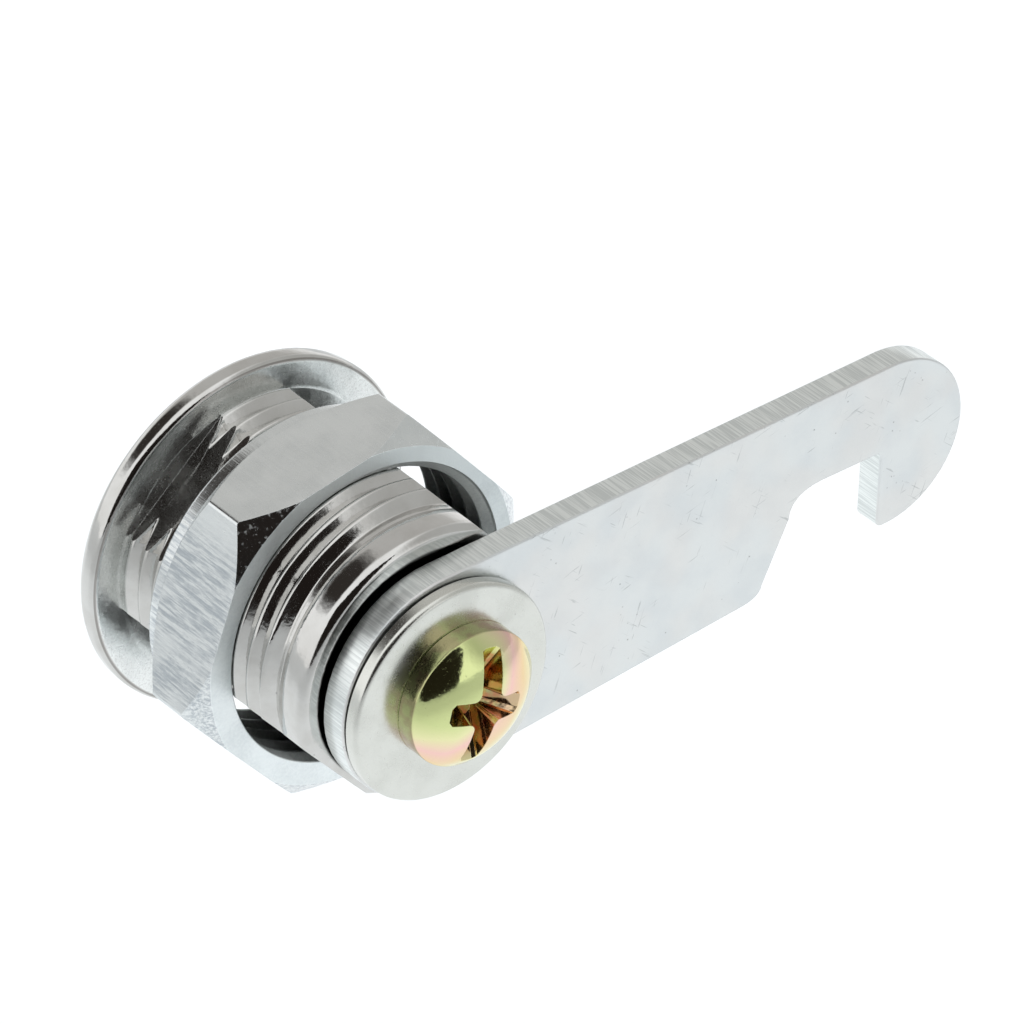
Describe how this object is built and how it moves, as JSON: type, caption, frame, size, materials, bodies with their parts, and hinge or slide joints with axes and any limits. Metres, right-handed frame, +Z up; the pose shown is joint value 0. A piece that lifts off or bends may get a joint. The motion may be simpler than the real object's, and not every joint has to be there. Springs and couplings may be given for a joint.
{
  "type": "cam lock",
  "caption": "Threaded cam lock with a round flange, hex mounting nut, turning wafer plug and a flat hooked cam held by a washer and a cross-recess screw.",
  "frame": {"origin": "on the lock's axis, in the plane of the flange's back face, which lies against the panel", "axes": "+Y along the axis from the key face towards the cam, +Z up, the cam points along -X at rest"},
  "size_m": [0.0516, 0.0243, 0.0234],
  "materials": {
    "chrome": "bright chrome plate on die-cast zinc",
    "zinc_nut": "clear zinc plate with turning marks",
    "zinc_cam": "pale zinc plate, sheared edges",
    "zinc_washer": "satin zinc plate",
    "yellow_zinc": "yellow passivated zinc plate, iridescent",
    "cast_zinc": "die-cast zinc",
    "brass": "stamped brass",
    "spring_steel": "drawn wire"
  },
  "bodies": {
    "housing": {"housing": "chrome"},
    "nut": {"mounting_nut": "zinc_nut"},
    "plug": {"plug": "cast_zinc", "cam": "zinc_cam", "cam_washer": "zinc_washer", "cam_screw": "yellow_zinc", "retainer_wafer": "brass", "retainer_spring": "spring_steel", "wafer_spring_1": "spring_steel", "wafer_spring_2": "spring_steel", "wafer_spring_3": "spring_steel", "wafer_spring_4": "spring_steel", "wafer_spring_5": "spring_steel", "wafer_spring_6": "spring_steel", "wafer_spring_7": "spring_steel"},
    "wafer_1": {"wafer_1": "brass"},
    "wafer_2": {"wafer_2": "brass"},
    "wafer_3": {"wafer_3": "brass"},
    "wafer_4": {"wafer_4": "brass"},
    "wafer_5": {"wafer_5": "brass"},
    "wafer_6": {"wafer_6": "brass"},
    "wafer_7": {"wafer_7": "brass"}
  },
  "joints": [
    {"name": "plug_turn", "type": "hinge", "parent": "housing", "child": "plug", "pos_m": [0, 0, 0], "axis": [0, 1, 0], "range_deg": [0, 90]},
    {"name": "nut_travel", "type": "slide", "parent": "housing", "child": "nut", "axis": [0, 1, 0], "range_m": [-0.0031, 0.0054]},
    {"name": "wafer_1_slide", "type": "slide", "parent": "plug", "child": "wafer_1", "axis": [0.6561, 0, 0.7547], "range_m": [0, 0.0008]},
    {"name": "wafer_2_slide", "type": "slide", "parent": "plug", "child": "wafer_2", "axis": [0.6561, 0, 0.7547], "range_m": [0, 0.0008]},
    {"name": "wafer_3_slide", "type": "slide", "parent": "plug", "child": "wafer_3", "axis": [0.6561, 0, 0.7547], "range_m": [0, 0.0008]},
    {"name": "wafer_4_slide", "type": "slide", "parent": "plug", "child": "wafer_4", "axis": [0.6561, 0, 0.7547], "range_m": [0, 0.0008]},
    {"name": "wafer_5_slide", "type": "slide", "parent": "plug", "child": "wafer_5", "axis": [0.6561, 0, 0.7547], "range_m": [0, 0.0008]},
    {"name": "wafer_6_slide", "type": "slide", "parent": "plug", "child": "wafer_6", "axis": [0.6561, 0, 0.7547], "range_m": [0, 0.0008]},
    {"name": "wafer_7_slide", "type": "slide", "parent": "plug", "child": "wafer_7", "axis": [0.6561, 0, 0.7547], "range_m": [0, 0.0008]}
  ],
  "couplings": [
    {"joint": "wafer_2_slide", "follows": "wafer_1_slide", "ratio": 1},
    {"joint": "wafer_3_slide", "follows": "wafer_1_slide", "ratio": 1},
    {"joint": "wafer_4_slide", "follows": "wafer_1_slide", "ratio": 1},
    {"joint": "wafer_5_slide", "follows": "wafer_1_slide", "ratio": 1},
    {"joint": "wafer_6_slide", "follows": "wafer_1_slide", "ratio": 1},
    {"joint": "wafer_7_slide", "follows": "wafer_1_slide", "ratio": 1}
  ]
}
